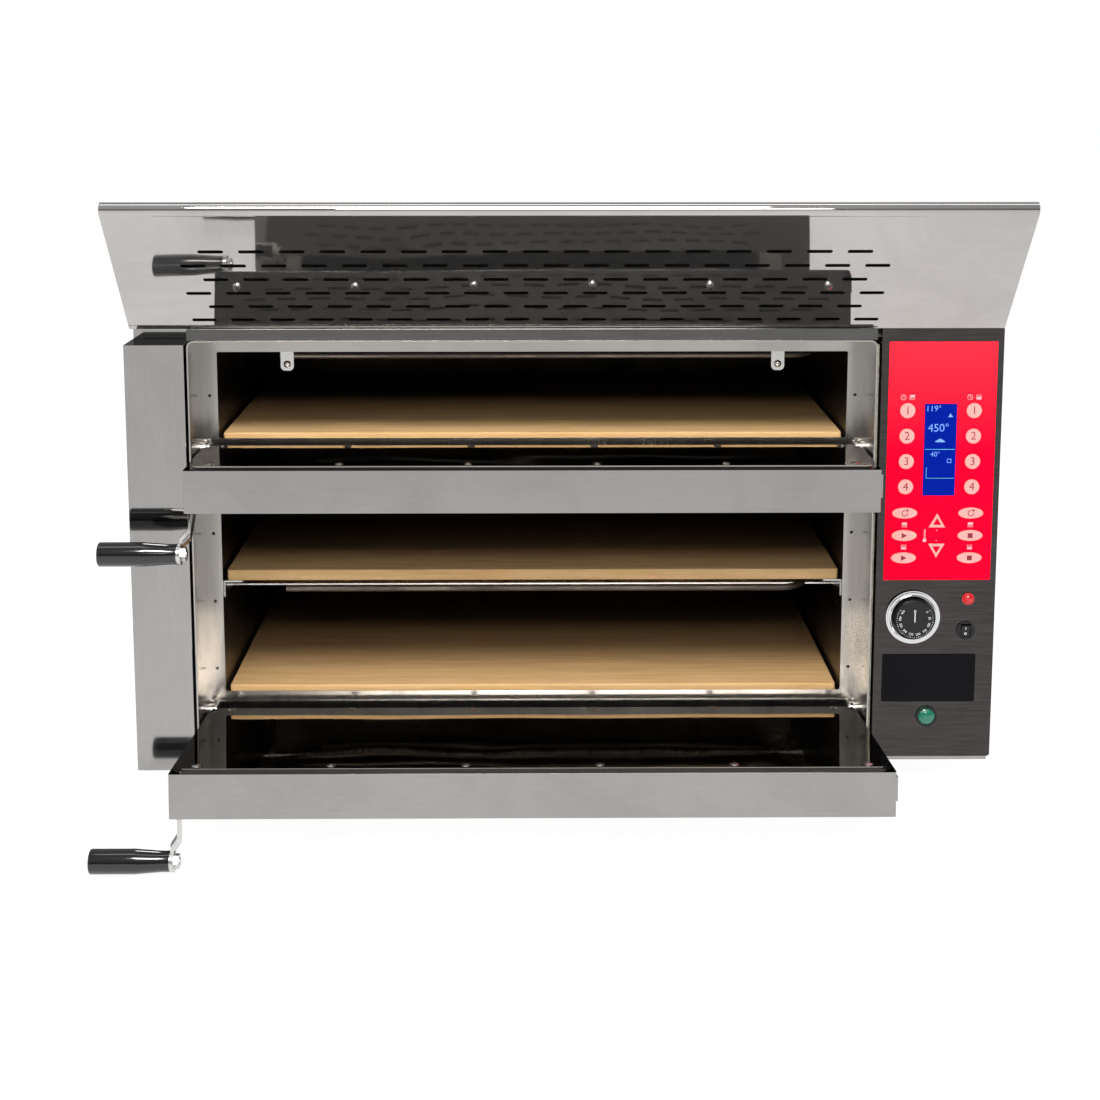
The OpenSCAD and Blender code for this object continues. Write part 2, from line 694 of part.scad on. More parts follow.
module rocker_paddle() color("#1a1a1a") place() translate([rocker_x, fascia_y + 2, rocker_z])
    rotate([8, 0, 0]) {
        translate([-4.6, 0, 0]) rotate([90, 0, 90]) linear_extrude(9.2)
            polygon([[-4.2, -6.3], [-3, 0], [-4.2, 6.3], [1.5, 5.2], [3.5, 0], [1.5, -5.2]]);
        bar_x(0.75, -6, 6, 0, 0);
    }

module red_lamp() color("#c01020") place() translate([red_lamp_x, fascia_y, red_lamp_z]) {
    bar_y(6.4, 0, 0, -1.4, 0);
    translate([0, -1.4, 0]) dome(5.6, 3.4);
    bar_y(5, 0, 0, 0, 22);
}

module green_lamp() color("#10a050") place() translate([green_lamp_x, fascia_y, green_lamp_z]) {
    bar_y(10.8, 0, 0, -1.8, 0);
    translate([0, -1.8, 0]) dome(8.6, 3.2);
    bar_y(7, 0, 0, 0, 26);
}

// Electronics behind the control box: board, relays, transformer and terminal block
module power_board() color("#2f6b3a") place() {
    board_x = 448;
    block([board_x, 120, 110], [board_x + 1.6, 330, 400]);
    for (z = [140, 190, 240]) block([board_x - 20, 150, z], [board_x, 180, z + 34]);
    block([board_x - 34, 230, 300], [board_x, 290, 360]);
    block([board_x - 16, 220, 130], [board_x, 310, 150]);
    for (y = [130, 320], z = [120, 390]) bar_x(3, board_x + 1.6, casing_right - sheet, y, z);
}

feet();
base_pan();
left_side_panel();
right_side_panel();
rear_panel();
top_cover();
mouth_frame();
header_rail();
visor();
visor_baffle();
upper_chamber_liner();
lower_chamber_liner();
chamber_wool();
upper_stone();
middle_stone();
lower_stone();
chamber_brackets();
heating_elements();
hinge_pins();
upper_door_shell();
upper_door_panel();
upper_door_wool();
upper_door_arm();
upper_door_grip();
upper_door_fasteners();
lower_door_shell();
lower_door_panel();
lower_door_wool();
lower_door_arm();
lower_door_grip();
lower_door_fasteners();
control_fascia();
keypad_membrane();
lcd_window();
thermostat_body();
thermostat_knob();
dial_bezel();
rocker_frame();
rocker_paddle();
red_lamp();
green_lamp();
power_board();
supply_gland();
casing_screws();
for (name = KEYS) round_key(name);
for (name = OVALS) oval_key(name);
for (name = ARROWS) arrow_key(name);
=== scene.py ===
"""Looks of the two-deck countertop pizza oven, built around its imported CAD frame."""

import json
import math

import bmesh
import bpy
from mathutils import Matrix, Vector


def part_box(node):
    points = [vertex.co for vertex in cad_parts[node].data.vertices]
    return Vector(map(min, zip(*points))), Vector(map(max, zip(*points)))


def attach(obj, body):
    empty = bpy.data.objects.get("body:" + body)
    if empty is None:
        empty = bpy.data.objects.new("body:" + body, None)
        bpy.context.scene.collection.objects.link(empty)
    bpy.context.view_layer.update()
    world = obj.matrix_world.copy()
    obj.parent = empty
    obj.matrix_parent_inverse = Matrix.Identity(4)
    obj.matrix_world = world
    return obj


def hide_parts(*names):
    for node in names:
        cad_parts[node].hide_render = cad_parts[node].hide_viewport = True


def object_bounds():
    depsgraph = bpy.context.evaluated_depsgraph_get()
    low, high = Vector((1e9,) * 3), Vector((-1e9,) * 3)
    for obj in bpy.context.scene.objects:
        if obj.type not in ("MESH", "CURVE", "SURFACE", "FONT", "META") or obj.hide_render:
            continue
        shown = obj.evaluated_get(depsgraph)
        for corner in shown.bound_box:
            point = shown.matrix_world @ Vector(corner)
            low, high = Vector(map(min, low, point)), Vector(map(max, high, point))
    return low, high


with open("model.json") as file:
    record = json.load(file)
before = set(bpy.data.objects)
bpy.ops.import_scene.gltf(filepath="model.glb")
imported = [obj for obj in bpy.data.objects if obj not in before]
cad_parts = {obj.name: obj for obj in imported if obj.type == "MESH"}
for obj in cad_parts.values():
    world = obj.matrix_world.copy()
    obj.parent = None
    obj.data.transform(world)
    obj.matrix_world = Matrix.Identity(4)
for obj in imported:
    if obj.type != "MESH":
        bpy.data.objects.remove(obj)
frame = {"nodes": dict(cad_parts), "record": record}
cad_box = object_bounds()
MM = 0.001
# Vertices closer than this are one, and edges flatter than FLAT are dissolved
WELD = 1e-6
FLAT = math.radians(0.3)
# Edges sharper than SHARP are rounded, and faces that meet below SMOOTH_BELOW are shaded as one
SHARP = math.radians(50)
SMOOTH_BELOW = math.radians(32)
# Thickness of printed marks, and the share of a text's size that its capitals take
PRINT_T = 0.1 * MM
CAP_SHARE = 0.70
FLOOR_SIZE = 14
slots = {part["node"]: part["material_slot"] for part in frame["record"]["subparts"]}

# Places read from the frame
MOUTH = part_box("mouth_frame")
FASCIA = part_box("control_fascia")
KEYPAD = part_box("keypad_membrane")
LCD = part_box("lcd_window")
MOUTH_BACK = MOUTH[1].y
CHAMBER_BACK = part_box("lower_chamber_liner")[1].y

KEYS_ROUND = [f"key_{side}_{n}" for side in ("upper", "lower") for n in range(1, 5)]
KEYS_OVAL = ["key_reset_left", "key_start_upper", "key_start_lower",
             "key_reset_right", "key_stop_upper", "key_stop_lower"]
KEYS_ARROW = ["key_up", "key_down"]


# Camera, lights and floor

def set_view():
    """The camera stands a little above the oven and looks slightly down at it."""
    data = bpy.data.cameras.new("camera")
    camera = bpy.data.objects.new("camera", data)
    bpy.context.scene.collection.objects.link(camera)
    camera.location = (-0.0265, -1.9317, 0.772)
    down, turn = math.radians(8.26), math.radians(-0.476)
    camera.rotation_euler = (math.pi / 2 - down, 0, turn)
    data.lens = 57.6
    data.sensor_width = 36
    data.shift_y = -0.20
    data.clip_start, data.clip_end = 0.05, 60
    bpy.context.scene.camera = camera
    bpy.context.scene.view_settings.view_transform = "Standard"
    bpy.context.scene.view_settings.look = "None"


def softbox(name, at, aim, size, power, spread=180, tint=(1, 1, 1)):
    """A rectangular area light at one point that faces another: metres, watts and degrees."""
    data = bpy.data.lights.new(name, "AREA")
    data.shape = "RECTANGLE"
    data.size, data.size_y = size
    data.energy = power
    data.spread = math.radians(spread)
    data.color = tint
    light = bpy.data.objects.new(name, data)
    bpy.context.scene.collection.objects.link(light)
    light.location = at
    light.rotation_euler = (Vector(aim) - Vector(at)).to_track_quat("-Z", "Y").to_euler()


def room_light():
    """A white world for the camera. Everything else sees a dim room that is brighter above."""
    world = bpy.data.worlds.new("studio")
    bpy.context.scene.world = world
    world.use_nodes = True
    nodes, links = world.node_tree.nodes, world.node_tree.links
    nodes.clear()
    out = nodes.new("ShaderNodeOutputWorld")
    both = nodes.new("ShaderNodeMixShader")
    white = nodes.new("ShaderNodeBackground")
    room = nodes.new("ShaderNodeBackground")
    path = nodes.new("ShaderNodeLightPath")
    place = nodes.new("ShaderNodeTexCoord")
    split = nodes.new("ShaderNodeSeparateXYZ")
    ramp = nodes.new("ShaderNodeValToRGB")
    # Brightness of the room at heights from the horizon, 0, to straight above, 1
    stops = ramp.color_ramp.elements
    stops[0].position, stops[0].color = 0.0, (0.26, 0.258, 0.255, 1)
    stops[1].position, stops[1].color = 0.9, (0.42, 0.42, 0.43, 1)
    for height, level in ((0.06, 0.13), (0.22, 0.10), (0.40, 0.36)):
        stops.new(height).color = (level, level, level * 1.01, 1)
    white.inputs["Color"].default_value = (1, 1, 1, 1)
    links.new(place.outputs["Generated"], split.inputs[0])
    links.new(split.outputs["Z"], ramp.inputs["Fac"])
    links.new(ramp.outputs["Color"], room.inputs["Color"])
    links.new(path.outputs["Is Camera Ray"], both.inputs["Fac"])
    links.new(room.outputs[0], both.inputs[1])
    links.new(white.outputs[0], both.inputs[2])
    links.new(both.outputs[0], out.inputs["Surface"])


def set_lights():
    """Five soft lights and the room around them."""
    warm = (1.0, 0.97, 0.93)
    softbox("overhead", (0, -0.3, 2.6), (0, 0, 0.2), (2.4, 0.4), 8)
    softbox("key", (-0.15, -2.0, 2.15), (0, 0, 0.25), (1.3, 0.5), 13, 80, warm)
    softbox("low_fill", (0.1, -2.7, 1.55), (0, 0, 0.3), (1.2, 0.3), 3.5, 70, warm)
    softbox("front_left", (-2.2, -1.8, 1.3), (0, 0, 0.3), (0.9, 1.2), 6)
    softbox("back", (0.3, 2.4, 1.9), (0, 0, 0.3), (2.0, 1.2), 5)
    room_light()


def make_floor():
    """A wide plain floor under the feet."""
    work = bmesh.new()
    bmesh.ops.create_grid(work, x_segments=1, y_segments=1, size=FLOOR_SIZE)
    mesh = bpy.data.meshes.new("floor")
    work.to_mesh(mesh)
    work.free()
    floor = bpy.data.objects.new("floor", mesh)
    bpy.context.scene.collection.objects.link(floor)
    floor.location.z = cad_box[0].z
    mesh.materials.append(floor_paint())


# Materials

class Looks:
    """One material's nodes, with short calls for what the looks below use."""

    def __init__(self, name):
        self.material = bpy.data.materials.new(name)
        self.material.use_nodes = True
        self.nodes = self.material.node_tree.nodes
        self.links = self.material.node_tree.links
        self.skin = self.nodes["Principled BSDF"]
        self.place = self.nodes.new("ShaderNodeTexCoord").outputs["Object"]

    def feed(self, socket, value):
        """Links an output to a socket, or sets the socket to a plain value."""
        if isinstance(value, bpy.types.NodeSocket):
            self.links.new(value, socket)
        else:
            socket.default_value = value

    def set(self, **values):
        """Sets or links inputs of the material's skin by name."""
        for name, value in values.items():
            self.feed(self.skin.inputs[name.replace("_", " ")], value)
        return self

    def stretched(self, x, y, z):
        node = self.nodes.new("ShaderNodeMapping")
        self.links.new(self.place, node.inputs["Vector"])
        node.inputs["Scale"].default_value = (x, y, z)
        return node.outputs["Vector"]

    def noise(self, scale, detail=2.0, rough=0.5, place=None, bend=0.0):
        node = self.nodes.new("ShaderNodeTexNoise")
        self.links.new(place or self.place, node.inputs["Vector"])
        node.inputs["Scale"].default_value = scale
        node.inputs["Detail"].default_value = detail
        node.inputs["Roughness"].default_value = rough
        node.inputs["Distortion"].default_value = bend
        return node.outputs["Fac"]

    def cells(self, scale):
        node = self.nodes.new("ShaderNodeTexVoronoi")
        self.links.new(self.place, node.inputs["Vector"])
        node.inputs["Scale"].default_value = scale
        return node.outputs["Distance"]

    def wave(self, scale, bend=0.0, direction="X"):
        node = self.nodes.new("ShaderNodeTexWave")
        node.bands_direction = direction
        self.links.new(self.place, node.inputs["Vector"])
        node.inputs["Scale"].default_value = scale
        node.inputs["Distortion"].default_value = bend
        return node.outputs["Fac"]

    def axis(self, letter):
        node = self.nodes.new("ShaderNodeSeparateXYZ")
        self.links.new(self.place, node.inputs[0])
        return node.outputs[letter]

    def between(self, value, low, high, to_low=0.0, to_high=1.0):
        """Carries a value from one range to another and keeps it inside."""
        node = self.nodes.new("ShaderNodeMapRange")
        for socket, number in zip(node.inputs, (value, low, high, to_low, to_high)):
            self.feed(socket, number)
        return node.outputs[0]

    def sum(self, kind, a, b=0.0):
        node = self.nodes.new("ShaderNodeMath")
        node.operation = kind
        self.feed(node.inputs[0], a)
        self.feed(node.inputs[1], b)
        return node.outputs[0]

    def mix(self, share, a, b):
        """Mixes two colours, each an RGB tuple or another node's output."""
        node = self.nodes.new("ShaderNodeMix")
        node.data_type = "RGBA"
        self.feed(node.inputs[0], share)
        for socket, value in ((node.inputs[6], a), (node.inputs[7], b)):
            self.feed(socket, (*value, 1) if isinstance(value, tuple) else value)
        return node.outputs[2]

    def bump(self, height, depth, strength=1.0, after=None):
        node = self.nodes.new("ShaderNodeBump")
        node.inputs["Distance"].default_value = depth
        node.inputs["Strength"].default_value = strength
        self.links.new(height, node.inputs["Height"])
        if after is not None:
            self.links.new(after, node.inputs["Normal"])
        return node.outputs["Normal"]


def steel(name, tint, rough, grain=(1, 1, 1), dirt=0.3, wavy=0.0, haze=0.0):
    """Stainless sheet: fine rolled grain, wiped smudges, slow waves and, if asked, a dull haze."""
    look = Looks(name)
    fine = look.noise(900, 2, 0.6, look.stretched(*grain))
    wiped = look.noise(9, 5, 0.62, bend=0.6)
    smudge = look.between(wiped, 0.42, 0.72)
    spots = look.between(look.cells(55), 0.02, 0.0, 0, 0.5)
    shade = look.mix(look.sum("MULTIPLY", smudge, dirt), tint, tuple(c * 0.72 for c in tint))
    shade = look.mix(look.between(fine, 0.3, 0.7, 0, 0.03), shade, (0.9, 0.9, 0.9))
    matt = look.between(fine, 0.2, 0.8, rough * 0.8, rough * 1.2)
    matt = look.sum("ADD", matt, look.sum("MULTIPLY", smudge, dirt * rough))
    matt = look.sum("ADD", matt, look.sum("MULTIPLY", spots, dirt * rough))
    bent = look.bump(fine, 0.00002, min(0.12, rough))
    if wavy:
        bent = look.bump(look.noise(5, 1, 0.4, bend=0.4), wavy, 1.0, bent)
    look.set(Coat_Weight=haze, Coat_Roughness=0.5)
    return look.set(Base_Color=shade, Metallic=1.0, Roughness=matt, Normal=bent).material


def chamber_steel():
    """Liner sheet: browned and dulled by baking, and darkened towards the back as painted shade."""
    look = Looks("liner_steel")
    # Painted shade: the sheet turns near black towards the back of the chamber, where the light does
    # not reach.
    depth_shade = look.between(look.axis("Y"), MOUTH_BACK, CHAMBER_BACK, 0.45, 1.0)
    cloud = look.between(look.noise(7, 6, 0.65, bend=0.5), 0.3, 0.7)
    fine = look.noise(600, 2, 0.6, look.stretched(1, 1, 0.04))
    shade_and_stain = look.sum("MULTIPLY", depth_shade, look.between(cloud, 0, 1, 0.75, 1.0))
    tint = look.mix(shade_and_stain, (0.22, 0.19, 0.155), (0.016, 0.012, 0.009))
    matt = look.between(cloud, 0, 1, 0.24, 0.42)
    bent = look.bump(fine, 0.00003, 0.5, look.bump(look.noise(6, 1), 0.002, 0.6))
    return look.set(Base_Color=tint, Metallic=1.0, Roughness=matt, Normal=bent).material


def baking_stone():
    """Pressed refractory board: warm tan, fibres along its length, pin holes, and a back darkened as
    painted shade.
    """
    look = Looks("baking_stone")
    fibre = look.noise(90, 6, 0.72, look.stretched(0.10, 1.6, 1.0), 0.25)
    streak = look.noise(26, 4, 0.6, look.stretched(0.16, 1.0, 1.0))
    grain = look.noise(1100, 3, 0.7)
    pits = look.between(look.cells(520), 0.10, 0.02, 0, 1)
    # Painted shade: the board darkens towards the back of the chamber, where the light does not reach;
    # mixed in below.
    back_shade = look.between(look.axis("Y"), MOUTH_BACK, CHAMBER_BACK - 0.14, 0.0, 1.0)
    tan = look.mix(look.between(fibre, 0.32, 0.68), (0.62, 0.365, 0.145), (0.82, 0.55, 0.27))
    tan = look.mix(look.between(streak, 0.45, 0.75, 0, 0.35), tan, (0.50, 0.30, 0.13))
    tan = look.mix(look.between(grain, 0.35, 0.7, 0, 0.22), tan, (0.90, 0.68, 0.40))
    tan = look.mix(look.sum("MULTIPLY", pits, 0.5), tan, (0.26, 0.15, 0.06))
    tan = look.mix(look.sum("MULTIPLY", back_shade, 0.90), tan, (0.05, 0.026, 0.011))
    height = look.sum("ADD", look.sum("MULTIPLY", fibre, 0.6), look.sum("MULTIPLY", grain, 0.4))
    height = look.sum("SUBTRACT", height, look.sum("MULTIPLY", pits, 0.8))
    return look.set(Base_Color=tan, Roughness=0.86, Normal=look.bump(height, 0.0006, 0.7),
                    Specular_IOR_Level=0.25).material


def plastic(name, tint, rough, grain=0.00002, glow=0.0, coat=0.0, shine=0.5):
    """Moulded plastic with a fine skin grain, faint scuffs and, if asked, a clear coat or a glow."""
    look = Looks(name)
    fine = look.noise(1400, 2, 0.6)
    scuff = look.between(look.noise(30, 5, 0.7, bend=0.8), 0.50, 0.74)
    paler = tuple(min(1.0, c * 1.25 + 0.003) for c in tint)
    shade = look.mix(look.sum("MULTIPLY", scuff, 0.10), tint, paler)
    skin = look.between(fine, 0.2, 0.8, rough * 0.85, rough * 1.15)
    matt = look.sum("ADD", skin, look.sum("MULTIPLY", scuff, 0.08))
    look.set(Base_Color=shade, Roughness=matt, Normal=look.bump(fine, grain, 0.6))
    look.set(Coat_Weight=coat, Coat_Roughness=0.06, Specular_IOR_Level=shine)
    if glow:
        look.set(Emission_Color=(*tint, 1), Emission_Strength=glow)
    return look.material


def keypad_film():
    """Printed red film, a little paler towards its top edge, with a faint glow that is painted light.
    """
    look = Looks("keypad_red")
    pale = look.between(look.axis("Z"), KEYPAD[0].z, KEYPAD[1].z, -1.2, 1.0)
    tint = look.mix(look.sum("MAXIMUM", pale, 0.0), (0.95, 0.0, 0.022), (0.94, 0.022, 0.042))
    fine = look.noise(1400, 2, 0.6)
    # Painted light: the film glows faintly, though it is no lamp.
    return look.set(Base_Color=tint, Roughness=0.42, Specular_IOR_Level=0.03, Emission_Color=tint,
                    Emission_Strength=0.2, Normal=look.bump(fine, 0.00003, 0.6)).material


def mineral_wool():
    """Grey-brown insulation: matted fibres and ragged clumps."""
    look = Looks("mineral_wool")
    fibre = look.noise(420, 5, 0.8, look.stretched(1, 0.3, 1), 1.2)
    clump = look.noise(70, 4, 0.65)
    tint = look.mix(look.between(clump, 0.3, 0.7), (0.20, 0.18, 0.145), (0.46, 0.43, 0.36))
    tint = look.mix(look.between(fibre, 0.4, 0.7, 0, 0.5), tint, (0.62, 0.59, 0.50))
    bent = look.bump(fibre, 0.001, 0.8, look.bump(clump, 0.003, 0.8))
    return look.set(Base_Color=tint, Roughness=0.95, Normal=bent).material


def lamp_plastic(name, tint, glow):
    """A moulded lens with fine rings inside, lit a little from behind."""
    look = Looks(name)
    facet = look.cells(900)
    paler = tuple(min(1.0, c * 1.5 + 0.01) for c in tint)
    shade = look.mix(look.between(facet, 0.1, 0.6), paler, tint)
    look.set(Base_Color=shade, Roughness=0.22, Coat_Weight=0.6, Coat_Roughness=0.04)
    look.set(Emission_Color=shade, Emission_Strength=glow, Normal=look.bump(facet, 0.0004, 0.5))
    return look.material


def circuit_board():
    """Green laminate with fine copper tracks showing through."""
    look = Looks("board_green")
    tracks = look.between(look.wave(60, 6, "Z"), 0.42, 0.58)
    tint = look.mix(look.sum("MULTIPLY", tracks, 0.5), (0.02, 0.14, 0.06), (0.05, 0.30, 0.13))
    return look.set(Base_Color=tint, Roughness=0.38, Normal=look.bump(tracks, 0.0001, 0.5)).material


def floor_paint():
    """Plain pale floor that glows a little, so that only faint shadows show on it."""
    look = Looks("pale_floor")
    speck = look.noise(14, 4, 0.6)
    tint = look.mix(look.between(speck, 0.3, 0.7), (0.18, 0.18, 0.1795), (0.20, 0.20, 0.1995))
    return look.set(Base_Color=tint, Roughness=0.7, Specular_IOR_Level=0.1,
                    Emission_Color=(1, 1, 1, 1), Emission_Strength=0.93).material


# Directions of the rolled grain, as stretches of its noise
ACROSS = (0.03, 1, 1)
UPRIGHT = (1, 1, 0.03)

# One look per material slot of the record: colour, roughness, and what else differs
MATERIALS = {
    "casing_steel": steel("casing_steel", (0.35, 0.342, 0.332), 0.06,
                          grain=UPRIGHT, dirt=0.4, wavy=0.0002),
    "mouth_steel": steel("mouth_steel", (0.42, 0.40, 0.375), 0.20,
                         grain=UPRIGHT, dirt=0.35, wavy=0.0003),
    # Painted shade: the header is the mouth's steel made far darker, standing for the visor's shadow on
    # it.
    "header_steel": steel("header_steel", (0.105, 0.103, 0.10), 0.12,
                          grain=ACROSS, dirt=0.4, wavy=0.0006),
    "mirror_steel": steel("mirror_steel", (0.47, 0.455, 0.44), 0.022,
                          grain=ACROSS, dirt=0.5, wavy=0.0012, haze=0.8),
    "liner_steel": chamber_steel(),
    "mineral_wool": mineral_wool(),
    "baking_stone": baking_stone(),
    "element_steel": steel("element_steel", (0.16, 0.145, 0.13), 0.42, dirt=0.8),
    "bright_steel": steel("bright_steel", (0.62, 0.615, 0.605), 0.26, dirt=0.2),
    "door_steel": steel("door_steel", (0.335, 0.322, 0.312), 0.06,
                        grain=ACROSS, dirt=0.4, wavy=0.0002),
    "door_inner_steel": steel("door_inner_steel", (0.36, 0.335, 0.305), 0.03,
                              grain=ACROSS, dirt=0.8, wavy=0.0016),
    "grip_black": plastic("grip_black", (0.006, 0.006, 0.007), 0.09, coat=0.5),
    "foot_rubber": plastic("foot_rubber", (0.02, 0.02, 0.02), 0.75, grain=0.00008),
    "fascia_dark": steel("fascia_dark", (0.048, 0.0425, 0.041), 0.05,
                         grain=ACROSS, dirt=0.5, wavy=0.0012),
    "keypad_red": keypad_film(),
    "lcd_blue": plastic("lcd_blue", (0.0001, 0.009, 0.225), 0.15, grain=0.00001, glow=0.25, shine=0.03),
    # Painted shade: the near-black sheet behind the visor's slots stands for the shade seen through
    # them.
    "baffle_dark": plastic("baffle_dark", (0.030, 0.027, 0.023), 0.6, grain=0.00006, shine=0.2),
    "thermostat_ceramic": plastic("thermostat_ceramic", (0.62, 0.58, 0.50), 0.5, grain=0.00005),
    "knob_black": plastic("knob_black", (0.010, 0.010, 0.011), 0.34, grain=0.00003, shine=0.3),
    "bezel_chrome": steel("bezel_chrome", (0.64, 0.64, 0.65), 0.07, dirt=0.1),
    "rocker_black": plastic("rocker_black", (0.008, 0.008, 0.009), 0.30, grain=0.00003, shine=0.3),
    "lamp_red": lamp_plastic("lamp_red", (0.42, 0.001, 0.006), 0.30),
    "lamp_green": lamp_plastic("lamp_green", (0.0, 0.105, 0.06), 0.35),
    "board_green": circuit_board(),
    "gland_black": plastic("gland_black", (0.02, 0.02, 0.021), 0.45, grain=0.00006),
    # Painted light: the keys glow faintly, though they are no lamps.
    "key_cream": plastic("key_cream", (0.84, 0.34, 0.32), 0.40, grain=0.00002, glow=0.10, shine=0.2),
}

# Looks of the pieces that are only in the visual
# Painted shade: the dark crosses on the screw heads stand for the shade in their recesses.
CROSS_SHADE = steel("cross_recess_shade", (0.05, 0.05, 0.05), 0.4)
PLATE_BLACK = plastic("plate_black", (0.006, 0.006, 0.0075), 0.35, shine=0.04)
PRINT = {
    "print_white": plastic("print_white", (0.82, 0.82, 0.82), 0.4),
    # Painted light: the pink print glows faintly, though it is no lamp.
    "print_pink": plastic("print_pink", (0.95, 0.42, 0.44), 0.4, glow=0.06),
    "print_red": plastic("print_red", (0.21, 0.012, 0.02), 0.4),
    "print_lcd": plastic("print_lcd", (0.12, 0.28, 0.78), 0.3, glow=0.25),
    "print_lcd_line": plastic("print_lcd_line", (0.10, 0.42, 0.60), 0.3, glow=0.2),
}


def paint_frame():
    """Gives each CAD node the material of its slot in the record."""
    for name, node in frame["nodes"].items():
        node.data.materials.clear()
        node.data.materials.append(MATERIALS[slots[name]])


def finish_piece(piece, body, material):
    """Gives a new piece its material and slot, and rides it on its body."""
    piece.data.materials.clear()
    piece.data.materials.append(material)
    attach(piece, body)


# Rounded copies: a CAD node's own shape with soft edges and smooth curves, shown in its place

# Width of the rounding in millimetres; 0 only smooths a node's curves
SOFT_EDGES = {
    "upper_door_shell": 0.5, "lower_door_shell": 0.5, "left_side_panel": 0.4, "top_cover": 0.4,
    "control_fascia": 0.4, "mouth_frame": 0.45, "header_rail": 0.3, "upper_stone": 1.4,
    "middle_stone": 1.4, "lower_stone": 1.4, "thermostat_knob": 0.0, "rocker_paddle": 0.3,
    "visor": 0.0, "upper_door_grip": 0.0, "lower_door_grip": 0.0, "dial_bezel": 0.0,
    "red_lamp": 0.0, "green_lamp": 0.0, "upper_door_fasteners": 0.0, "lower_door_fasteners": 0.0,
    "upper_door_arm": 0.4, "lower_door_arm": 0.4, "feet": 0.0, "heating_elements": 0.0,
}


def softened(node, width):
    """Copies a node, rounds its sharp edges by a width in metres and smooths its curves."""
    mesh = frame["nodes"][node].data.copy()
    mesh.name = node + "_soft"
    kept_normals = mesh.attributes.get("custom_normal")
    if kept_normals:
        mesh.attributes.remove(kept_normals)
    work = bmesh.new()
    work.from_mesh(mesh)
    bmesh.ops.remove_doubles(work, verts=work.verts, dist=WELD)
    bmesh.ops.dissolve_limit(work, angle_limit=FLAT, verts=work.verts, edges=work.edges)
    if width:
        sharp = [e for e in work.edges if len(e.link_faces) == 2 and e.calc_face_angle() > SHARP]
        bmesh.ops.bevel(work, geom=sharp, offset=width, offset_type="OFFSET", segments=2,
                        profile=0.5, affect="EDGES", clamp_overlap=True)
    # Only the strips of curves are smooth. set_sharp_from_angle smooths all, so they are set after it.
    curved = [not width and len(face.verts) <= 4 for face in work.faces]
    work.to_mesh(mesh)
    work.free()
    mesh.set_sharp_from_angle(angle=SMOOTH_BELOW)
    mesh.polygons.foreach_set("use_smooth", curved)
    piece = bpy.data.objects.new(node + "_soft", mesh)
    bpy.context.scene.collection.objects.link(piece)
    return piece


def soften_frame():
    """Shows each node of SOFT_EDGES as its rounded copy."""
    bodies = frame["record"]["behaviour"]["bodies"]
    owners = {name: body for body, members in bodies.items() for name in members}
    for node, width in SOFT_EDGES.items():
        piece = softened(node, width * MM)
        name = slots[node]
        finish_piece(piece, owners[node], MATERIALS[name])
        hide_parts(node)


# Printed marks: thin closed solids that lie on a face towards the front

def solid_of(curve_object, name):
    """Turns a curve or text object into a mesh object with welded edges."""
    bpy.context.scene.collection.objects.link(curve_object)
    bpy.context.view_layer.update()
    ready = curve_object.evaluated_get(bpy.context.evaluated_depsgraph_get())
    mesh = bpy.data.meshes.new_from_object(ready)
    mesh.transform(curve_object.matrix_world)
    bpy.data.objects.remove(curve_object)
    work = bmesh.new()
    work.from_mesh(mesh)
    bmesh.ops.remove_doubles(work, verts=work.verts, dist=WELD)
    work.to_mesh(mesh)
    work.free()
    mesh.name = name
    piece = bpy.data.objects.new(name, mesh)
    bpy.context.scene.collection.objects.link(piece)
    return piece


def facing(at):
    """Stands a flat shape up at a point, so that it faces the front."""
    return Matrix.Translation(at) @ Matrix.Rotation(math.pi / 2, 4, "X")


def flat_curve(outlines, depth):
    """A flat filled shape of a given thickness. An outline inside another one is a hole."""
    data = bpy.data.curves.new("outline", "CURVE")
    data.dimensions = "2D"
    data.fill_mode = "BOTH"
    data.extrude = depth / 2
    for outline in outlines:
        spline = data.splines.new("POLY")
        spline.points.add(len(outline) - 1)
        for point, (x, y) in zip(spline.points, outline):
            point.co = (x, y, 0, 1)
        spline.use_cyclic_u = True
    return bpy.data.objects.new("outline", data)


def mark(name, outlines, at, depth=PRINT_T):
    """A printed shape from its outlines, in metres from the point at."""
    shape = flat_curve(outlines, depth)
    shape.matrix_world = facing(at)
    return solid_of(shape, name)


def writing(name, words, size, at, turn=0.0):
    """Printed numerals of a given cap height, centred on a point."""
    data = bpy.data.curves.new("text", "FONT")
    data.body = words
    data.size = size / CAP_SHARE
    data.align_x, data.align_y = "CENTER", "CENTER"
    data.extrude = PRINT_T / 2
    data.resolution_u = 4
    text = bpy.data.objects.new("text", data)
    text.matrix_world = facing(at) @ Matrix.Rotation(turn, 4, "Z")
    return solid_of(text, name)


def joined(name, pieces):
    """Makes one mesh object out of several."""
    work = bmesh.new()
    for piece in pieces:
        work.from_mesh(piece.data)
        bpy.data.objects.remove(piece)
    mesh = bpy.data.meshes.new(name)
    work.to_mesh(mesh)
    work.free()
    whole = bpy.data.objects.new(name, mesh)
    bpy.context.scene.collection.objects.link(whole)
    return whole


def circle(r, x=0.0, y=0.0, steps=32):
    """Outline of a circle of radius r around a point."""
    turn = 2 * math.pi / steps
    return [(x + r * math.cos(i * turn), y + r * math.sin(i * turn)) for i in range(steps)]


def bar(x0, y0, x1, y1):
    """Outline of a rectangle between two opposite corners."""
    return [(x0, y0), (x1, y0), (x1, y1), (x0, y1)]


def scaled(points):
    """An outline given in millimetres, in metres."""
    return [(x * MM, y * MM) for x, y in points]


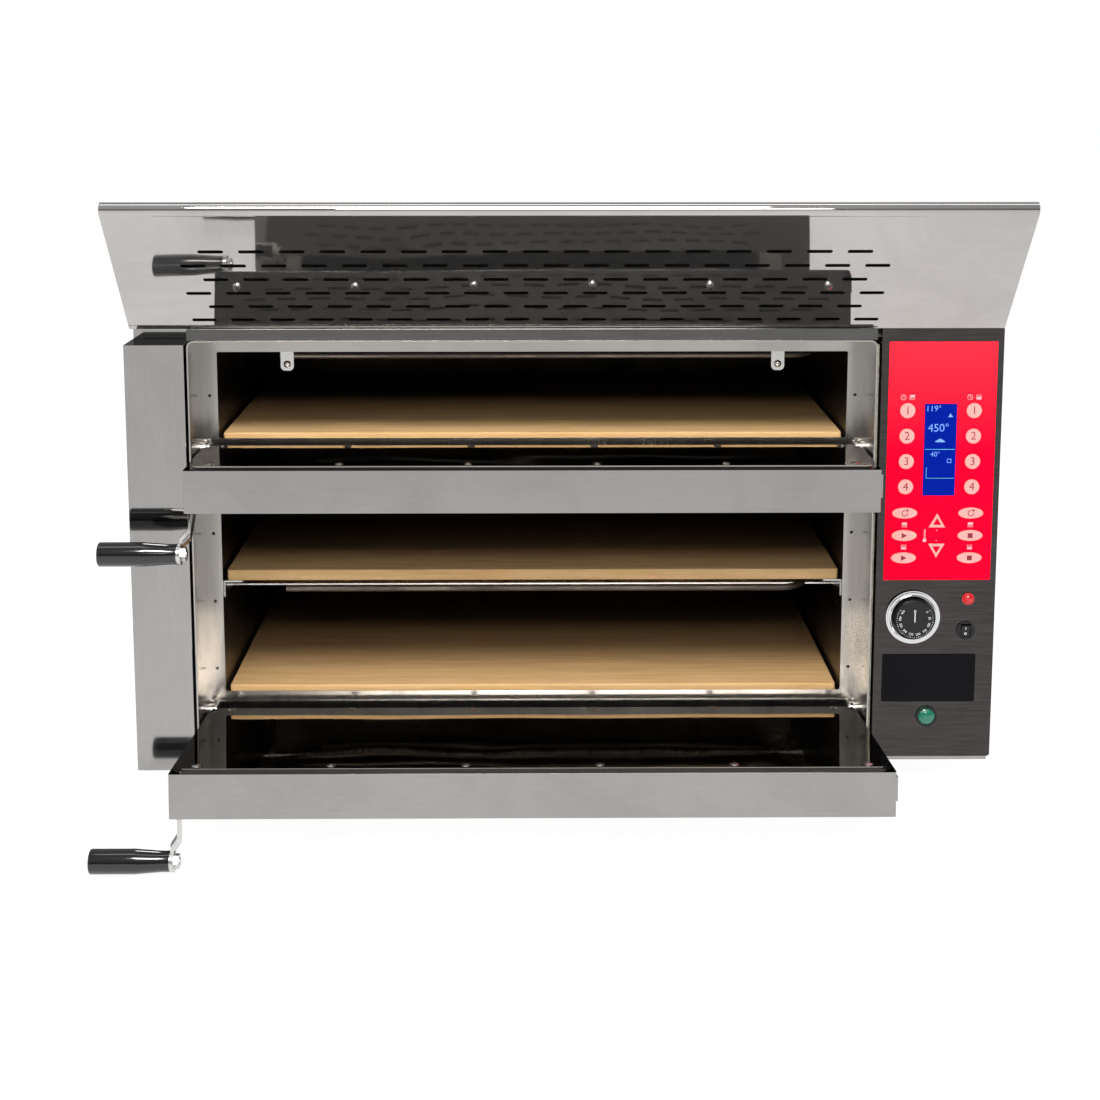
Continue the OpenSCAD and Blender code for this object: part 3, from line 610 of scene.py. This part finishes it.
def triangle(w, lift, flip):
    """Outline of an arrow of width w, which points down where flip is -1."""
    foot, tip = flip * (lift - 0.36 * w), flip * (lift + 0.5 * w)
    return [(-w / 2, foot), (w / 2, foot), (0, tip)]


def arc_band(r, t, start, end, steps=20):
    """Outline of a band along an arc of middle radius r, between two angles in degrees."""
    angles = [math.radians(start + (end - start) * i / steps) for i in range(steps + 1)]
    outer = [((r + t / 2) * math.cos(a), (r + t / 2) * math.sin(a)) for a in angles]
    inner = [((r - t / 2) * math.cos(a), (r - t / 2) * math.sin(a)) for a in angles]
    return outer + inner[::-1]


def front_of(node):
    """The middle of a node's front face."""
    low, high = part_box(node)
    return Vector(((low.x + high.x) / 2, low.y, (low.z + high.z) / 2))


def key_marks():
    """Numerals on the round keys and plain symbols on the others."""
    red = PRINT["print_red"]
    for name in KEYS_ROUND:
        figure = writing(name + "_numeral", name[-1], 8.4 * MM, front_of(name))
        finish_piece(figure, name + "_body", red)
    play = [scaled([(-2.7, -3.0), (3.3, 0), (-2.7, 3.0)])]
    stop = [bar(-2.6 * MM, -2.6 * MM, 2.6 * MM, 2.6 * MM)]
    tip = scaled([(1.5, 4.6), (4.7, 3.0), (1.7, 1.1)])
    again = [arc_band(2.9 * MM, 0.9 * MM, 75, 370), tip]
    shapes = {"reset": again, "start": play, "stop": stop}
    for name in KEYS_OVAL:
        symbol = mark(name + "_symbol", shapes[name.split("_")[1]], front_of(name))
        finish_piece(symbol, name + "_body", red)
    for name, flip in zip(KEYS_ARROW, (1, -1)):
        low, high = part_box(name)
        w = high.x - low.x
        at = front_of(name)
        at.z = (low.z + high.z) / 2 - flip * 0.07 * w
        inset = mark(name + "_symbol", [triangle(0.5 * w, -0.02 * w, flip)], at)
        finish_piece(inset, name + "_body", MATERIALS["keypad_red"])


def deck_sign(at, lit):
    """A small picture of the two decks with one of them filled."""
    w, h, t, gap = 5.2 * MM, 2.2 * MM, 0.45 * MM, 0.5 * MM
    outlines = []
    for i in (0, 1):
        y = (i - 1) * h + i * gap
        outlines.append(bar(-w / 2, y, w / 2, y + h))
        if i != lit:
            outlines.append(bar(-w / 2 + t, y + t, w / 2 - t, y + h - t))
    return mark("sign", outlines, at)


def clock_sign(at):
    """A clock face with two hands."""
    r, t = 2.9 * MM, 0.5 * MM
    hands = [bar(-t / 2, 0, t / 2, 2.0 * MM), bar(0.2 * MM, -t / 2, 1.5 * MM, t / 2)]
    return mark("sign", [circle(r), circle(r - t), *hands], at)


def keypad_signs():
    """Clocks, deck pictures, a thermometer and dots printed on the keypad."""
    y = KEYPAD[0].y
    signs = []
    for key, lit in (("key_upper_1", 1), ("key_lower_1", 0)):
        x, z = front_of(key).x, front_of(key).z + 13.5 * MM
        signs.append(clock_sign(Vector((x - 4.6 * MM, y, z + 0.5 * MM))))
        signs.append(deck_sign(Vector((x + 4.4 * MM, y, z + 0.4 * MM)), lit))
    for key, lit in (("key_start_upper", 1), ("key_start_lower", 0),
                     ("key_stop_upper", 1), ("key_stop_lower", 0)):
        x, z = front_of(key).x, front_of(key).z + 11.2 * MM
        signs.append(deck_sign(Vector((x, y, z)), lit))
    up, down = front_of("key_up"), front_of("key_down")
    middle = (up.z + down.z) / 2
    stem = Vector((up.x - 12.4 * MM, y, middle))
    tube = [scaled(bar(-0.8, -3.6, 0.8, 6.4)), scaled(bar(-0.35, -3.3, 0.35, 5.9))]
    signs.append(mark("sign", tube, stem))
    signs.append(mark("sign", [circle(1.9 * MM, 0, -5.2 * MM)], stem))
    for side in (1, -1):
        signs.append(mark("sign", [circle(0.55 * MM)], Vector((up.x, y, middle + side * 5.4 * MM))))
    finish_piece(joined("keypad_signs", signs), "casing", PRINT["print_pink"])


def lcd_figures():
    """Temperatures, a few plain shapes and the lines shown on the display."""
    low, high = LCD
    w, h = high.x - low.x, high.z - low.z

    def spot(across, up):
        return Vector((low.x + across * w, low.y, low.z + up * h))

    arrow = scaled([(-2.6, -1.5), (2.6, -1.5), (0, 2.6)])
    hollow = [scaled(bar(-2.2, -2.2, 2.2, 2.2)), scaled(bar(-1.6, -1.6, 1.6, 1.6))]
    roof = scaled([(-5, -1.6), (5, -1.6), (5, -0.6), (0, 2.4), (-5, -0.6)])
    figures = [
        writing("figure", "119°", 6.0 * MM, spot(0.27, 0.945)),
        writing("figure", "450°", 8.2 * MM, spot(0.44, 0.735)),
        writing("figure", "40°", 5.0 * MM, spot(0.36, 0.45)),
        mark("figure", [arrow], spot(0.80, 0.87)),
        mark("figure", hollow, spot(0.80, 0.38)),
        mark("figure", [roof], spot(0.5, 0.60)),
    ]
    finish_piece(joined("lcd_figures", figures), "casing", PRINT["print_lcd"])
    half = 0.46 * w
    lines = [
        mark("line", [bar(-half, -0.25 * MM, half, 0.25 * MM)], spot(0.5, 0.505)),
        mark("line", [bar(-0.4 * w, -0.2 * MM, half, 0.2 * MM)], spot(0.5, 0.19)),
        mark("line", [bar(-0.2 * MM, 0, 0.2 * MM, 0.12 * h)], spot(0.1, 0.19)),
    ]
    finish_piece(joined("lcd_lines", lines), "casing", PRINT["print_lcd_line"])


def dial_marks():
    """Numerals and ticks on the knob, and its pointer with a ring at the tip."""
    centre = front_of("thermostat_knob")
    low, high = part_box("thermostat_knob")
    r = (high.x - low.x) / 2
    first, sweep = 55, 250

    def turned(share):
        return math.radians(first + sweep * share)

    pieces = []
    ticks = 36
    half, long_in, short_in, rim = 0.22 * MM, 2.6 * MM, 1.9 * MM, 1.2 * MM
    for i in range(ticks + 1):
        angle = turned(i / ticks)
        c, s = math.cos(angle), math.sin(angle)
        inner = r - (long_in if i % 4 == 0 else short_in)
        corners = bar(-half, inner, half, r - rim)
        pieces.append(mark("tick", [[(c * x - s * y, s * x + c * y) for x, y in corners]], centre))
    figures = 10
    for i in range(figures):
        angle = turned(i / (figures - 1))
        at = centre + Vector((-math.sin(angle), 0, math.cos(angle))) * (r - 5.0 * MM)
        pieces.append(writing("figure", str(450 - 50 * i), 2.3 * MM, at, turn=angle + math.pi))
    pieces.append(mark("pointer", [bar(-0.45 * MM, -2.5 * MM, 0.45 * MM, 8.5 * MM)], centre))
    ring = [circle(1.3 * MM, 0, 9.6 * MM), circle(0.75 * MM, 0, 9.6 * MM)]
    pieces.append(mark("pointer", ring, centre))
    finish_piece(joined("dial_numerals", pieces), "thermostat_dial", PRINT["print_white"])


# Small parts: the crosses of the screws, the blank plate, the lamp's collar and the switch's signs.
# Their places follow the layout of the CAD part, in millimetres.

# Height of each door's hinge line, its opening angle in degrees, and the door's height
DOORS = {"upper_door": (333.5, 90.0, 115), "lower_door": (44.0, 85.3, 226)}
# The hinge line behind the lip, and in a door's own axes
HINGE_Y = 62
DOOR_HINGE_Y = 41.5
HINGE_DROP = 6
# Six screws in each of two rows, set in from the door's lower and upper edge, and their heads' height
SCREWS_IN_ROW = 6
SCREW_PITCH = 129.5
SCREW_INSETS = (13, 17)
SCREW_TOP = 46.5 + 1.62
# Where the frame's origin lies, seen from the mouth's middle, the lip and the base
ORIGIN = Vector((29.5, 161.69, -47.0))
PLATE_MIDDLE = (418.25, 0, 93)


def from_mouth(x, y, z):
    """A point given in millimetres from the mouth, lip and base, in the frame's metres."""
    return (Vector((x, y, z)) - ORIGIN) * MM


def door_place(hinge_z, angle):
    """Carries a door's own axes, in metres, to where the door stands open."""
    hinge = Matrix.Translation(from_mouth(0, HINGE_Y, hinge_z))
    swing = Matrix.Rotation(math.radians(angle), 4, "X")
    return hinge @ swing @ Matrix.Translation((0, -DOOR_HINGE_Y * MM, HINGE_DROP * MM))


def screw_crosses():
    """The cross cut of each screw head on the inner panels, drawn dark as painted shade of the recess.
    """
    arm, half, deep = 2.1 * MM, 0.35 * MM, 0.16 * MM
    cross = [(-arm, -half), (-half, -half), (-half, -arm), (half, -arm), (half, -half), (arm, -half),
             (arm, half), (half, half), (half, arm), (-half, arm), (-half, half), (-arm, half)]
    for door, (hinge_z, angle, height) in DOORS.items():
        stand = door_place(hinge_z, angle)
        crosses = []
        for i in range(SCREWS_IN_ROW):
            for j, up in enumerate((SCREW_INSETS[0], height - SCREW_INSETS[1])):
                across = (i - (SCREWS_IN_ROW - 1) / 2) * SCREW_PITCH
                at = Vector((across, SCREW_TOP, up)) * MM
                as_driven = Matrix.Rotation(0.7 * i + 1.9 * j, 4, "Z")
                shape = flat_curve([cross], deep)
                turn = Matrix.Rotation(-math.pi / 2, 4, "X") @ as_driven
                shape.matrix_world = stand @ Matrix.Translation(at) @ turn
                crosses.append(solid_of(shape, "cross"))
        finish_piece(joined(door + "_crosses", crosses), door, CROSS_SHADE)


def blank_plate():
    """A plain black plate with rounded corners on the control box."""
    w, h, r, thick = 98.5 * MM, 52 * MM, 1.2 * MM, 0.8 * MM
    steps = 4
    outline = []
    for side, top, start in ((1, 1, 0), (-1, 1, 90), (-1, -1, 180), (1, -1, 270)):
        x, z = side * (w / 2 - r), top * (h / 2 - r)
        for step in range(steps + 1):
            angle = math.radians(start + 90 * step / steps)
            outline.append((x + r * math.cos(angle), z + r * math.sin(angle)))
    at = from_mouth(*PLATE_MIDDLE)
    at.y = FASCIA[0].y - thick / 2
    plate = mark("blank_plate", [outline], at, thick)
    finish_piece(plate, "casing", PLATE_BLACK)


def lamp_ring():
    """The black collar around the green lamp."""
    outer, inner, thick, stand = 11 * MM, 8.7 * MM, 0.6 * MM, 2.1 * MM
    at = front_of("green_lamp")
    at.y = FASCIA[0].y - stand
    ring = mark("green_lamp_ring", [circle(outer, steps=64), circle(inner, steps=64)], at, thick)
    finish_piece(ring, "casing", MATERIALS["rocker_black"])


def rocker_signs():
    """A bar and a ring, the usual signs for on and off, on the two halves of the switch."""
    low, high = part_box("rocker_paddle")
    middle = Vector(((low.x + high.x) / 2, 0, (low.z + high.z) / 2))
    signs = []
    # For each half: up or down, how far it stands before the fascia, its lean in degrees, the sign
    for side, before, lean, outlines in (
            (1, 2.0 * MM, 18.8, [bar(-0.4 * MM, -1.5 * MM, 0.4 * MM, 1.5 * MM)]),
            (-1, 1.18 * MM, -2.8, [circle(1.3 * MM), circle(0.85 * MM)])):
        at = middle + Vector((0, 0, side * 3.0 * MM))
        at.y = FASCIA[0].y - before
        shape = flat_curve(outlines, PRINT_T)
        tilt = Matrix.Rotation(math.radians(lean), 4, "X")
        shape.matrix_world = Matrix.Translation(at) @ tilt @ Matrix.Rotation(math.pi / 2, 4, "X")
        signs.append(solid_of(shape, "sign"))
    finish_piece(joined("rocker_signs", signs), "rocker", PRINT["print_white"])


paint_frame()
soften_frame()
screw_crosses()
blank_plate()
lamp_ring()
rocker_signs()
key_marks()
keypad_signs()
lcd_figures()
dial_marks()
set_view()
set_lights()
make_floor()
